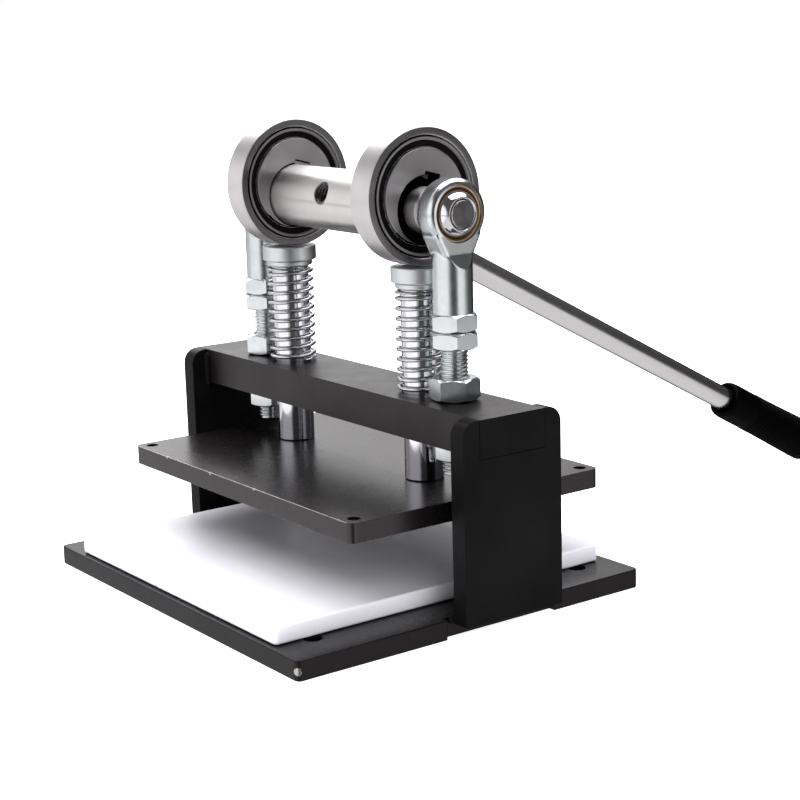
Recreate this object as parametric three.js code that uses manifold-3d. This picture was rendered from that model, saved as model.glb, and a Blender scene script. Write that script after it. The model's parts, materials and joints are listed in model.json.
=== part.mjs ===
// Tabletop lever press: an eccentric shaft on two rod ends pushes a sprung press plate down
// on a loose cutting board. Millimetres, +Z up. +X runs along the shaft, +Y points to the
// rear, where the lever hangs at rest. The origin is the middle of the base's underside.
import * as THREE from 'three';
import { mergeVertices } from 'three/addons/utils/BufferGeometryUtils.js';
import Module from 'manifold-3d';

const wasm = await Module();
wasm.setup();

// Driving dimensions
const GAP = 0.3;                                   // between pieces that touch
const BASE = { x: 240, y: 210, z: 10, corner: 3 };
const BASE_HOLE = { x: 98, y: 82, radius: 4.5 };
const NOTCH = { y: 67, depth: 4 };                 // in each side of the base, at an upright
const PRESS_Y = 14;                                // plane of the shaft, beam and rods
const UPRIGHT = { thick: 10, y: 60, bottom: 7.5, top: 107.5, corner: 8 };
const BEAM = { y: 40, z: 19 };
const WELD = { lap: 3, top: 10.6, leg: 4 };
const BOARD = { x: 196, y: 200, z: 9, corner: 2.5, at: [-1, -2] };
const PLATE = { x: 210, y: 155, z: 10, bottom: 53, corner: 4 };
const PLATE_HOLE = { inset: 7, radius: 3.2 };

const SHAFT_Z = 199;                               // axis of the shaft
const SHAFT = { radius: 16.25, half: 57, neck: 8.5, stub: 6.8, end: 95.8 };
const COLLAR = { radius: 11.4, start: 62.5, end: 72 };       // on the shaft, against the rod end's ball
const ECCENTRIC = 6.5;                             // hub centre above the shaft axis at rest
const HUB = { radius: 23.9, width: 16, bore: 16.55 };
const KEY = { x: 53.5, width: 9, length: 6.6, inner: 12.6, outer: 17.8, angle: 15 };
const BEARING = { x: 58, width: 16, outer: 34, race: 30.2, ball: 1.9, pitch: 28.2, balls: 12 };
const INNER_RING = { inner: 24.2, outer: 26.2, width: 12 };
const SEAL = { inner: 24.4, outer: 29.9, thick: 1.1, inset: 0.5 };

const ROD_END = { x: 86, ring: 17, width: 13.5, bore: 14.2, shank: 10, flats: 22, collar: 8.7 };
const ROD_END_DROP = 57;                           // from the ball's centre to the shank's end
const RACE = { outer: 13.9, half: 5.5, clearance: 0.2 };
const BALL = { radius: 12.7, half: 9.5, bore: 7.1 };
const STUD = { radius: 6.9, bottom: 70.5, top: 168, hole: 7.2 };
const NUT = { flats: 22, top: 11, under: 10, lock: 8.4, turn: { left: -6, right: 19 } };

const ROD = { x: 59.5, radius: 10, spigot: 6, hole: 10.3 };
const CAP = { radius: 14.6, disc: 7.9, step: 12.4, stepHeight: 3 };
const SCREW = { head: 7.5, headHeight: 4, shank: 3.9, length: 22 };
const SPRING = { mean: 11.75, wire: 1, coils: 11, closed: 2.35 };

const LEVER = { radius: 7.1, thread: 5.9, angle: -27.8, end: 393 };
const TAPPED_HOLE = { x: -3, radius: 6, angle: 19, depth: 15 };
const GRIP = { start: 314, flareStart: 350, end: 403, radius: 12, flare: 13.1, bore: 7.4, mouth: 8.4 };

// Places worked out from them
const BEAM_TOP = UPRIGHT.top;
const BEAM_BOTTOM = BEAM_TOP - BEAM.z;
const UPRIGHT_IN = BASE.x / 2 + GAP;
const UPRIGHT_OUT = UPRIGHT_IN + UPRIGHT.thick;
const HUB_Z = SHAFT_Z + ECCENTRIC;
const PLATE_TOP = PLATE.bottom + PLATE.z;
const CAP_TOP = HUB_Z - BEARING.outer - GAP;
const CAP_DISC = CAP_TOP - CAP.disc;
const CAP_BOTTOM = CAP_DISC - CAP.stepHeight;
const SHANK_END = SHAFT_Z - ROD_END_DROP;
const HUB_OUT = BEARING.x + HUB.width / 2;

const SIDES = [['left', -1], ['right', 1]];
// Carries a shape drawn in XY and extruded along Z to the YZ plane, extruded along X.
const YZ_TO_X = new THREE.Matrix4().makeBasis(
  new THREE.Vector3(0, 1, 0), new THREE.Vector3(0, 0, 1), new THREE.Vector3(1, 0, 0));
const radians = THREE.MathUtils.degToRad;

const MATERIALS = {
  paint: new THREE.MeshStandardMaterial({ color: 0x2b2a2c, roughness: 0.55, metalness: 0.3 }),
  steel: new THREE.MeshStandardMaterial({ color: 0xa9a7a8, roughness: 0.3, metalness: 1 }),
  polished: new THREE.MeshStandardMaterial({ color: 0xdcdcdf, roughness: 0.12, metalness: 1 }),
  zinc: new THREE.MeshStandardMaterial({ color: 0xc4c8cc, roughness: 0.3, metalness: 1 }),
  brass: new THREE.MeshStandardMaterial({ color: 0xa98a55, roughness: 0.35, metalness: 1 }),
  rubber: new THREE.MeshStandardMaterial({ color: 0x0d0d0e, roughness: 0.75, metalness: 0 }),
  board: new THREE.MeshStandardMaterial({ color: 0xf1f2f5, roughness: 0.5, metalness: 0 }),
};

const group = new THREE.Group();

function add(name, geometry, material) {
  const mesh = new THREE.Mesh(geometry, MATERIALS[material]);
  mesh.name = name;
  group.add(mesh);
  return mesh;
}

// Solids

function solid(geometry) {
  const bare = geometry.clone();
  bare.deleteAttribute('normal');
  bare.deleteAttribute('uv');
  const merged = mergeVertices(bare, 1e-4);
  return new wasm.Manifold(new wasm.Mesh({
    numProp: 3,
    vertProperties: Float32Array.from(merged.attributes.position.array),
    triVerts: Uint32Array.from(merged.index.array),
  }));
}

function surface(body) {
  const mesh = body.getMesh();
  const geometry = new THREE.BufferGeometry();
  geometry.setAttribute('position', new THREE.BufferAttribute(mesh.vertProperties, 3));
  geometry.setIndex(new THREE.BufferAttribute(mesh.triVerts, 1));
  return geometry;
}

function box(x, y, z, at) {
  return new THREE.BoxGeometry(x, y, z).translate(...at);
}

function rod(radius, low, high, segments = 24) {
  const length = high - low;
  return new THREE.CylinderGeometry(radius, radius, length, segments)
    .rotateX(Math.PI / 2).translate(0, 0, (low + high) / 2);
}

// A profile of [radius, height] pairs, turned about Z, or about X with height along X.
function turned(profile, segments = 32) {
  const points = profile.map(([radius, height]) => new THREE.Vector2(radius, height));
  return new THREE.LatheGeometry(points, segments).rotateX(Math.PI / 2);
}

function turnedX(profile, segments = 32) {
  return turned(profile, segments).rotateY(Math.PI / 2);
}

function ringProfile(inner, outer, low, high, chamfer = 0) {
  const corners = chamfer
    ? [[outer - chamfer, low], [outer, low + chamfer], [outer, high - chamfer], [outer - chamfer, high]]
    : [[outer, low], [outer, high]];
  return [[inner, low], ...corners, [inner, high], [inner, low]];
}

function rectangle(x, y) {
  const corners = [[-x, -y], [x, -y], [x, y], [-x, y]];
  return new THREE.Shape(corners.map(([px, py]) => new THREE.Vector2(px / 2, py / 2)));
}

function roundedOutline(x, y, corner) {
  const shape = new THREE.Shape();
  const [halfX, halfY] = [x / 2 - corner, y / 2 - corner];
  shape.absarc(halfX, halfY, corner, 0, Math.PI / 2);
  shape.absarc(-halfX, halfY, corner, Math.PI / 2, Math.PI);
  shape.absarc(-halfX, -halfY, corner, Math.PI, 1.5 * Math.PI);
  shape.absarc(halfX, -halfY, corner, 1.5 * Math.PI, 2 * Math.PI);
  return shape;
}

function hole(x, y, radius) {
  const path = new THREE.Path();
  path.absarc(x, y, radius, 0, 2 * Math.PI, true);
  return path;
}

function extruded(shape, height, curveSegments = 4) {
  return new THREE.ExtrudeGeometry(shape, { depth: height, bevelEnabled: false, curveSegments });
}

// Frame

function notchedOutline() {
  const { x, y, corner } = BASE;
  const half = x / 2;
  const inner = half - NOTCH.depth;
  const [low, high] = [PRESS_Y - NOTCH.y / 2, PRESS_Y + NOTCH.y / 2];
  const shape = new THREE.Shape();
  shape.absarc(half - corner, -y / 2 + corner, corner, -Math.PI / 2, 0);
  for (const [px, py] of [[half, low], [inner, low], [inner, high], [half, high]]) shape.lineTo(px, py);
  shape.absarc(half - corner, y / 2 - corner, corner, 0, Math.PI / 2);
  shape.absarc(-half + corner, y / 2 - corner, corner, Math.PI / 2, Math.PI);
  for (const [px, py] of [[-half, high], [-inner, high], [-inner, low], [-half, low]]) shape.lineTo(px, py);
  shape.absarc(-half + corner, -y / 2 + corner, corner, Math.PI, 1.5 * Math.PI);
  return shape;
}

function basePlate() {
  const shape = notchedOutline();
  for (const x of [-BASE_HOLE.x, BASE_HOLE.x]) {
    for (const y of [-BASE_HOLE.y, BASE_HOLE.y]) shape.holes.push(hole(x, y, BASE_HOLE.radius));
  }
  add('base_plate', extruded(shape, BASE.z), 'paint');
}

// Outline in the YZ plane, with an open slot at the top for the beam's tenon.
function upright(side, sign) {
  const { corner, bottom, top } = UPRIGHT;
  const half = UPRIGHT.y / 2;
  const slot = BEAM.y / 2 + GAP;
  const floor = BEAM_BOTTOM - GAP;
  const shape = new THREE.Shape();
  shape.moveTo(-half, bottom);
  shape.lineTo(half, bottom);
  shape.absarc(half - corner, top - corner, corner, 0, Math.PI / 2);
  for (const [y, z] of [[slot, top], [slot, floor], [-slot, floor], [-slot, top]]) shape.lineTo(y, z);
  shape.absarc(-half + corner, top - corner, corner, Math.PI / 2, Math.PI);
  add(`upright_${side}`, extruded(shape, UPRIGHT.thick, 5).applyMatrix4(YZ_TO_X), 'paint')
    .position.set(sign > 0 ? UPRIGHT_IN : -UPRIGHT_OUT, PRESS_Y, 0);
}

function crossbeam() {
  const shape = rectangle(2 * UPRIGHT_OUT, BEAM.y);
  for (const sign of [-1, 1]) {
    shape.holes.push(hole(sign * ROD.x, 0, ROD.hole), hole(sign * ROD_END.x, 0, STUD.hole));
  }
  add('crossbeam', extruded(shape, BEAM.z, 12), 'paint').position.set(0, PRESS_Y, BEAM_BOTTOM);
}

// Fills the notch between the base and an upright, and laps the upright's front and rear edges.
function baseWeld(side, sign) {
  const inner = BASE.x / 2 - NOTCH.depth + GAP;
  const outer = UPRIGHT_IN - GAP;
  const lap = outer + WELD.lap;
  const end = NOTCH.y / 2 - GAP;
  const edge = UPRIGHT.y / 2 + GAP;
  const outline = [[inner, -end], [lap, -end], [lap + 1, -edge], [outer, -edge],
    [outer, edge], [lap + 1, edge], [lap, end], [inner, end]];
  const shape = new THREE.Shape(outline.map(([x, y]) => new THREE.Vector2(x, y)));
  const geometry = extruded(shape, WELD.top - UPRIGHT.bottom);
  if (sign < 0) geometry.rotateZ(Math.PI);
  add(`base_weld_${side}`, geometry, 'paint').position.set(0, PRESS_Y, UPRIGHT.bottom);
}

// One bead around the beam's front, underside and rear, on the upright's inner face.
function beamWeld(side, sign) {
  const inner = BEAM.y / 2 + GAP;
  const outer = inner + WELD.leg;
  const top = BEAM.z - 1;
  const floor = -GAP;
  const outline = [[-outer, floor - WELD.leg], [outer, floor - WELD.leg], [outer, top], [inner, top],
    [inner, floor], [-inner, floor], [-inner, top], [-outer, top]];
  const shape = new THREE.Shape(outline.map(([y, z]) => new THREE.Vector2(y, z)));
  const x = sign > 0 ? UPRIGHT_IN - GAP - WELD.leg : -UPRIGHT_IN + GAP;
  add(`beam_weld_${side}`, extruded(shape, WELD.leg).applyMatrix4(YZ_TO_X), 'paint')
    .position.set(x, PRESS_Y, BEAM_BOTTOM);
}

function cuttingBoard() {
  const shape = roundedOutline(BOARD.x, BOARD.y, BOARD.corner);
  add('cutting_board', extruded(shape, BOARD.z), 'board')
    .position.set(...BOARD.at, BASE.z + GAP);
}

// Fasteners and rod ends

function hexagon(flats) {
  const corner = flats / Math.sqrt(3);
  const points = [];
  for (let i = 0; i < 6; i += 1) {
    const angle = i * Math.PI / 3 + Math.PI / 6;
    points.push(new THREE.Vector2(corner * Math.cos(angle), corner * Math.sin(angle)));
  }
  return new THREE.Shape(points);
}

function hexNut(name, height, x, z, turn = 0) {
  const shape = hexagon(NUT.flats);
  shape.holes.push(hole(0, 0, STUD.hole));
  const geometry = extruded(shape, height, 8).rotateZ(radians(turn));
  add(name, geometry, 'zinc').position.set(x, PRESS_Y, z);
}

function studAndNuts(side, sign) {
  const x = sign * ROD_END.x;
  add(`stud_${side}`, rod(STUD.radius, STUD.bottom, STUD.top, 20), 'zinc').position.set(x, PRESS_Y, 0);
  hexNut(`beam_nut_${side}`, NUT.top, x, BEAM_TOP + GAP, NUT.turn[side]);
  hexNut(`under_nut_${side}`, NUT.under, x, BEAM_BOTTOM - GAP - NUT.under);
  hexNut(`lock_nut_${side}`, NUT.lock, x, SHANK_END - GAP - NUT.lock);
}

// Ring, tapered neck, round shank and hexagon collar, bored for the race and the stud.
function rodEndHousing() {
  const { ring, width, shank, collar, flats, bore } = ROD_END;
  const shankTop = SHAFT_Z - 21.5;
  const neckTop = SHAFT_Z - 9.5;
  const neck = new THREE.Shape([[-10, shankTop - 1], [10, shankTop - 1], [14, neckTop], [-14, neckTop]]
    .map(([y, z]) => new THREE.Vector2(y, z)));
  const neckBody = extruded(neck, width).translate(0, 0, -width / 2).applyMatrix4(YZ_TO_X);
  const eye = turnedX([[0, -width / 2], [ring - 1.2, -width / 2], [ring, -width / 2 + 1.2],
    [ring, width / 2 - 1.2], [ring - 1.2, width / 2], [0, width / 2]], 32).translate(0, 0, SHAFT_Z);
  const eyeBore = turnedX([[0, -width], [bore, -width], [bore, width], [0, width]], 32)
    .translate(0, 0, SHAFT_Z);
  const hex = extruded(hexagon(flats), collar).translate(0, 0, SHANK_END);
  return surface(solid(eye)
    .add(solid(neckBody))
    .add(solid(rod(shank, SHANK_END + 1, shankTop)))
    .add(solid(hex))
    .subtract(solid(eyeBore))
    .subtract(solid(rod(STUD.hole, SHANK_END - 1, STUD.top + 1, 20))));
}

function rodEnd(side, sign) {
  const x = sign * ROD_END.x;
  add(`rod_end_${side}`, rodEndHousing(), 'zinc').position.set(x, PRESS_Y, 0);
  const seat = BALL.radius + RACE.clearance;
  const profile = [];
  for (let i = 0; i <= 4; i += 1) {
    const height = RACE.half * (1 - i / 2);
    profile.push([Math.sqrt(seat ** 2 - height ** 2), height]);
  }
  profile.push([RACE.outer, -RACE.half], [RACE.outer, RACE.half], profile[0]);
  add(`race_${side}`, turnedX(profile, 28), 'brass').position.set(x, PRESS_Y, SHAFT_Z);
}

// Shaft, hubs and lever

function leverFrame(angle) {
  return new THREE.Matrix4().makeRotationX(-Math.PI / 2 + radians(angle));
}

// A turned profile whose height runs from the shaft's axis along the lever.
function alongLever(geometry, angle) {
  return geometry.applyMatrix4(leverFrame(angle)).translate(0, PRESS_Y, SHAFT_Z);
}

function keyBlock(width, inner, outer, length) {
  return box(length, width, outer - inner, [0, 0, (inner + outer) / 2]).rotateX(-radians(KEY.angle));
}

function shaft() {
  const { radius, half, neck, stub, end } = SHAFT;
  const ballFace = ROD_END.x - BALL.half - GAP;
  const right = [[radius, half], [neck, half], [neck, COLLAR.start], [COLLAR.radius, COLLAR.start],
    [COLLAR.radius, COLLAR.end], [neck, COLLAR.end], [neck, ballFace], [stub, ballFace],
    [stub, end - 0.4], [stub - 0.4, end], [0, end]];
  const left = right.map(([r, height]) => [r, -height]).reverse();
  let body = solid(turnedX([...left, ...right], 28));
  for (const [, sign] of SIDES) {
    const seat = keyBlock(KEY.width + 2 * GAP, KEY.inner - GAP, KEY.outer + 2, KEY.length + 2 * GAP);
    body = body.subtract(solid(seat.translate(sign * KEY.x, 0, 0)));
  }
  const socket = rod(LEVER.thread + GAP, -2, radius + 4, 20).applyMatrix4(leverFrame(LEVER.angle));
  const tapped = rod(TAPPED_HOLE.radius, -radius - 4, -radius + TAPPED_HOLE.depth, 20)
    .applyMatrix4(leverFrame(-TAPPED_HOLE.angle)).translate(TAPPED_HOLE.x, 0, 0);
  body = body.subtract(solid(socket)).subtract(solid(tapped));
  add('eccentric_shaft', surface(body), 'steel').position.set(0, PRESS_Y, SHAFT_Z);
}

function hub(side, sign) {
  const half = HUB.width / 2;
  const disc = turnedX([[0, -half], [HUB.radius - 0.6, -half], [HUB.radius, -half + 0.6],
    [HUB.radius, half - 0.6], [HUB.radius - 0.6, half], [0, half]], 32).translate(0, 0, ECCENTRIC);
  const bore = turnedX([[0, -half - 1], [HUB.bore, -half - 1], [HUB.bore, half + 1], [0, half + 1]], 28);
  const keyway = keyBlock(KEY.width + 2 * GAP, KEY.inner, KEY.outer + 1, HUB.width + 2);
  const body = solid(disc).subtract(solid(bore)).subtract(solid(keyway));
  const x = sign * BEARING.x;
  add(`eccentric_hub_${side}`, surface(body), 'steel').position.set(x, PRESS_Y, SHAFT_Z);
  const key = keyBlock(KEY.width, KEY.inner, KEY.outer, KEY.length);
  add(`shaft_key_${side}`, key, 'steel').position.set(sign * KEY.x, PRESS_Y, SHAFT_Z);
}

function innerRing(side, sign) {
  const { inner, outer, width } = INNER_RING;
  const ring = turnedX(ringProfile(inner, outer, -width / 2, width / 2), 28);
  add(`bearing_inner_ring_${side}`, ring, 'steel').position.set(sign * BEARING.x, PRESS_Y, HUB_Z);
}

function rodEndBall(side, sign) {
  const profile = [[BALL.bore, -BALL.half]];
  for (let i = 0; i <= 6; i += 1) {
    const height = BALL.half * (i / 3 - 1);
    profile.push([Math.sqrt(BALL.radius ** 2 - height ** 2), height]);
  }
  profile.push([BALL.bore, BALL.half], profile[0]);
  add(`rod_end_ball_${side}`, turnedX(profile, 24), 'polished')
    .position.set(sign * ROD_END.x, PRESS_Y, SHAFT_Z);
}

function lever() {
  const { radius, thread, angle, end } = LEVER;
  const shoulder = SHAFT.radius + 1;
  const bar = turned([[0, 0], [thread, 0], [thread, shoulder], [radius, shoulder + 1], [radius, end],
    [0, end]], 24);
  add('lever_bar', alongLever(bar, angle), 'polished');
  const { start, flareStart, flare, bore, mouth } = GRIP;
  const grip = turned([[mouth, start], [mouth + 1.6, start], [GRIP.radius, start + 6],
    [GRIP.radius, flareStart], [flare, GRIP.end - 5], [flare - 4, GRIP.end], [0, GRIP.end],
    [0, end + GAP], [bore, end + GAP], [bore, start + 5], [mouth, start + 2], [mouth, start]], 24);
  add('lever_grip', alongLever(grip, angle), 'rubber');
}

// Bearing outer parts, which turn on the hubs

function outerBearing(side, sign) {
  const at = [sign * BEARING.x, PRESS_Y, HUB_Z];
  const { outer, race, width } = BEARING;
  const half = width / 2;
  const ring = turnedX(ringProfile(race, outer, -half, half, 0.8), 36);
  add(`bearing_outer_ring_${side}`, ring, 'polished').position.set(...at);
  for (const [place, way] of [['inner', -sign], ['outer', sign]]) {
    const face = way * (half - SEAL.inset);
    const low = Math.min(face, face - way * SEAL.thick);
    const seal = turnedX(ringProfile(SEAL.inner, SEAL.outer, low, low + SEAL.thick), 24);
    add(`bearing_seal_${side}_${place}`, seal, 'rubber').position.set(...at);
  }
  add(`bearing_cage_${side}`, ballCage(), 'polished').position.set(...at);
}

// The balls and the cage that holds them, as one solid.
function ballCage() {
  const { ball, pitch, balls } = BEARING;
  const ring = ringProfile(pitch - 0.5, pitch + 0.5, -1, 1);
  let body = solid(turnedX(ring, balls));
  for (let i = 0; i < balls; i += 1) {
    const angle = 2 * Math.PI * i / balls;
    const sphere = new THREE.SphereGeometry(ball, 5, 3);
    body = body.add(solid(sphere.translate(0, pitch * Math.cos(angle), pitch * Math.sin(angle))));
  }
  return surface(body);
}

// Press plate and what moves with it

function pressPlate() {
  const shape = roundedOutline(PLATE.x, PLATE.y, PLATE.corner);
  const [x, y] = [PLATE.x / 2 - PLATE_HOLE.inset, PLATE.y / 2 - PLATE_HOLE.inset];
  for (const sx of [-1, 1]) {
    for (const sy of [-1, 1]) shape.holes.push(hole(sx * x, sy * y, PLATE_HOLE.radius));
  }
  let body = solid(extruded(shape, PLATE.z));
  for (const [, sign] of SIDES) {
    const { head, headHeight, shank } = SCREW;
    const seat = turned([[0, -1], [head + GAP, -1], [head + GAP, 0], [shank + GAP, headHeight],
      [shank + GAP, PLATE.z + 1], [0, PLATE.z + 1]], 20);
    body = body.subtract(solid(seat.translate(sign * ROD.x, 0, 0)));
  }
  add('press_plate', surface(body), 'paint').position.set(0, PRESS_Y, PLATE.bottom);
}

function guideRod(side, sign) {
  const x = sign * ROD.x;
  const low = PLATE_TOP + GAP;
  const pilot = low + SCREW.length;
  const profile = [[0, pilot], [SCREW.shank + GAP, pilot], [SCREW.shank + GAP, low], [ROD.radius, low],
    [ROD.radius, CAP_BOTTOM - GAP], [ROD.spigot, CAP_BOTTOM - GAP], [ROD.spigot, CAP_DISC + 3],
    [0, CAP_DISC + 3]];
  add(`guide_rod_${side}`, turned(profile, 24), 'polished').position.set(x, PRESS_Y, 0);
  const seat = ROD.spigot + GAP;
  const roof = CAP_DISC + 3 + GAP;
  const cap = [[0, roof], [seat, roof], [seat, CAP_BOTTOM], [CAP.step, CAP_BOTTOM], [CAP.step, CAP_DISC],
    [CAP.radius - 0.5, CAP_DISC], [CAP.radius, CAP_DISC + 0.5], [CAP.radius, CAP_TOP - 1],
    [CAP.radius - 1, CAP_TOP], [0, CAP_TOP]];
  add(`spring_cap_${side}`, turned(cap, 24), 'zinc').position.set(x, PRESS_Y, 0);
}

function plateScrew(side, sign) {
  const { head, headHeight, shank, length } = SCREW;
  const profile = [[0, 0.2], [head, 0.2], [shank, headHeight + 0.2], [shank, PLATE.z + length - 1],
    [0, PLATE.z + length - 1]];
  add(`plate_screw_${side}`, turned(profile, 20), 'zinc')
    .position.set(sign * ROD.x, PRESS_Y, PLATE.bottom);
}

// A helix whose end coils are closed and whose other coils share the rest of the height.
class Coil extends THREE.Curve {
  getPoint(t, target = new THREE.Vector3()) {
    const { mean, wire, coils, closed } = SPRING;
    const height = CAP_BOTTOM - BEAM_TOP - 2 * GAP - 2 * wire;
    const open = (height - 2 * closed) / (coils - 2);
    const turn = t * coils;
    const low = Math.min(turn, 1) * closed;
    const middle = Math.min(Math.max(turn - 1, 0), coils - 2) * open;
    const high = Math.max(turn - coils + 1, 0) * closed;
    const angle = 2 * Math.PI * turn;
    return target.set(mean * Math.cos(angle), mean * Math.sin(angle), low + middle + high);
  }
}

function spring(side, sign) {
  const section = new THREE.Shape();
  section.absarc(0, 0, SPRING.wire, 0, 2 * Math.PI);
  const options = { steps: 8 * SPRING.coils, curveSegments: 2, extrudePath: new Coil() };
  add(`spring_${side}`, new THREE.ExtrudeGeometry(section, options), 'polished')
    .position.set(sign * ROD.x, PRESS_Y, BEAM_TOP + GAP + SPRING.wire);
}

basePlate();
crossbeam();
cuttingBoard();
shaft();
lever();
pressPlate();
for (const [side, sign] of SIDES) {
  upright(side, sign);
  baseWeld(side, sign);
  beamWeld(side, sign);
  studAndNuts(side, sign);
  rodEnd(side, sign);
  hub(side, sign);
  innerRing(side, sign);
  rodEndBall(side, sign);
  outerBearing(side, sign);
  guideRod(side, sign);
  plateScrew(side, sign);
  spring(side, sign);
}

export default group;
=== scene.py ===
"""Looks of the tabletop lever press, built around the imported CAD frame.

Places are in metres with +Z up. Sizes written here are in millimetres, and angles in degrees.
Round pieces are turned from profiles of (radius, height) pairs, plates are outlines with
bevelled edges, and every size that the frame already holds is read from its boxes.
"""
import json
import math

import bmesh
import bpy
from mathutils import Matrix, Vector

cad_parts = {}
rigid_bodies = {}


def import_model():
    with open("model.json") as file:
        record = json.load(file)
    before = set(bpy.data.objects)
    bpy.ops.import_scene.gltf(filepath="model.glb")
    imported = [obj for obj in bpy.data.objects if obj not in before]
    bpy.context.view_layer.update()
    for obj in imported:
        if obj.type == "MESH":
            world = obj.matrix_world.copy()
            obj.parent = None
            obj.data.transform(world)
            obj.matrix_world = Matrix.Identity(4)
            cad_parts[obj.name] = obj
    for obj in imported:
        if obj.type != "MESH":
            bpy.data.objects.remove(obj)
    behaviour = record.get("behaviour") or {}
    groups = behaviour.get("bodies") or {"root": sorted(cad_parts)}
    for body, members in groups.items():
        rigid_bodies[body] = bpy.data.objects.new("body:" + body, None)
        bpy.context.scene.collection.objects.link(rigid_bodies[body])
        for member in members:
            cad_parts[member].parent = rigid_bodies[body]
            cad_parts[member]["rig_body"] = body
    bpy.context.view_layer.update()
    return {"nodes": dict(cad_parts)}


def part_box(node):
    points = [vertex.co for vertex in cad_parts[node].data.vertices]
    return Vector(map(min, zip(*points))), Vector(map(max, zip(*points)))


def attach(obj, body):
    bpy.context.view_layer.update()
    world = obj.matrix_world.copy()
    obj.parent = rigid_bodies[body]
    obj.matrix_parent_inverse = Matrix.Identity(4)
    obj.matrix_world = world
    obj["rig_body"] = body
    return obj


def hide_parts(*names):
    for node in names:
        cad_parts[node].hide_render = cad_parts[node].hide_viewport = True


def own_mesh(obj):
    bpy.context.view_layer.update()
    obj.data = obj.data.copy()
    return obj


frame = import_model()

MM = 0.001
SIDES = (("left", -1), ("right", 1))
TO_X = Matrix.Rotation(math.radians(90), 4, "Y")    # turns a profile's height axis to X

TINY = 1e-7                 # metres, below which two points are one
CREASE = 32                 # angle between faces above which their edge stays sharp
SOFT_CREASE = 60            # the same for threads, welds and forgings
PLATE_EDGE = 0.6            # bevel of the plates
BAR_EDGE = 0.4              # bevel of the uprights and the beam

NUT_FLATS = 22              # across the flats of every M14 nut
STUD_BORE = 7.0             # radius of the thread in nuts and rod ends
NUT_TURN = {"beam_nut_left": -6, "beam_nut_right": 19}      # the others face along X
KEY_WIDTH = 9
SHAFT_RADIUS = 16.25
LEVER_SLOPE = 27.8          # of the lever below the horizontal, at rest
SPRING_COILS = 11


# Places read from the frame


def low(node):
    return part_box(node)[0]


def high(node):
    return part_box(node)[1]


def middle(node):
    return (low(node) + high(node)) / 2


def size(node):
    return high(node) - low(node)


def column_foot(node):
    """The point on the ground under a node's middle."""
    return Vector((middle(node).x, middle(node).y, 0))


# Mesh tools


def new_object(name, mesh, material, crease=CREASE):
    mesh.shade_smooth()
    mesh.set_sharp_from_angle(angle=math.radians(crease))
    piece = bpy.data.objects.new(name, mesh)
    bpy.context.scene.collection.objects.link(piece)
    if material:
        piece.data.materials.append(material)
    return piece


def from_bmesh(name, shape, material, crease=CREASE):
    bmesh.ops.recalc_face_normals(shape, faces=shape.faces)
    mesh = bpy.data.meshes.new(name)
    shape.to_mesh(mesh)
    shape.free()
    return new_object(name, mesh, material, crease)


def rounded(points, radius, closed=False, steps=4, straight=12, most=0.45):
    """The same path with each corner turned into a short curve.

    Corners that are nearly straight stay, and a curve takes at most a part of each side.
    """
    count = len(points)
    path = []
    for i, point in enumerate(points):
        here = Vector(point)
        if not closed and i in (0, count - 1):
            path.append(here)
            continue
        before, after = Vector(points[i - 1]) - here, Vector(points[(i + 1) % count]) - here
        shortest = min(before.length, after.length)
        if shortest < TINY or before.angle(-after) < math.radians(straight):
            path.append(here)
            continue
        reach = min(radius, most * before.length, most * after.length)
        start, end = here + before.normalized() * reach, here + after.normalized() * reach
        for step in range(steps + 1):
            t = step / steps
            path.append(start * (1 - t) ** 2 + here * 2 * t * (1 - t) + end * t ** 2)
    return path


def skin(name, rings, material, cap=False, join_ends=False, crease=CREASE):
    """Faces between closed rings of points that all have the same count."""
    shape = bmesh.new()
    rows = [[shape.verts.new(p) for p in ring] for ring in rings]
    if join_ends:
        rows.append(rows[0])
    count = len(rows[0])
    for near, far in zip(rows, rows[1:]):
        for i in range(count):
            j = (i + 1) % count
            shape.faces.new((near[i], near[j], far[j], far[i]))
    if cap:
        shape.faces.new(rows[0])
        shape.faces.new(rows[-1])
    bmesh.ops.remove_doubles(shape, verts=shape.verts, dist=TINY)
    return from_bmesh(name, shape, material, crease)


def turned(name, profile, material, at, axis=None, closed=False, rounding=0.4, segments=96):
    """A profile turned about its height axis, whose zero is a point in metres."""
    path = rounded(profile, rounding, closed)
    place = Matrix.Translation(at) @ (axis or Matrix.Identity(4))
    angles = [2 * math.pi * i / segments for i in range(segments)]
    rings = [[place @ (MM * Vector((r * math.cos(a), r * math.sin(a), h))) for a in angles]
             for r, h in path]
    return skin(name, rings, material, join_ends=closed)


def arc(centre, radius, start, end, steps=8):
    """Points on an arc, in the units of its centre."""
    angles = [math.radians(start + (end - start) * i / steps) for i in range(steps + 1)]
    return [(centre[0] + radius * math.cos(a), centre[1] + radius * math.sin(a)) for a in angles]


def rounded_rectangle(lo, hi, radius):
    corners = [(hi.x - radius, hi.y - radius, 0), (lo.x + radius, hi.y - radius, 90),
               (lo.x + radius, lo.y + radius, 180), (hi.x - radius, lo.y + radius, 270)]
    return [p for x, y, start in corners for p in arc((x, y), radius, start, start + 90, 6)]


def yz_plane(x, y=0):
    """Stands an outline of (y, z) pairs at x, and raises it along +X."""
    return Matrix(((0, 0, 1, x), (1, 0, 0, y), (0, 1, 0, 0), (0, 0, 0, 1)))


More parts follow.
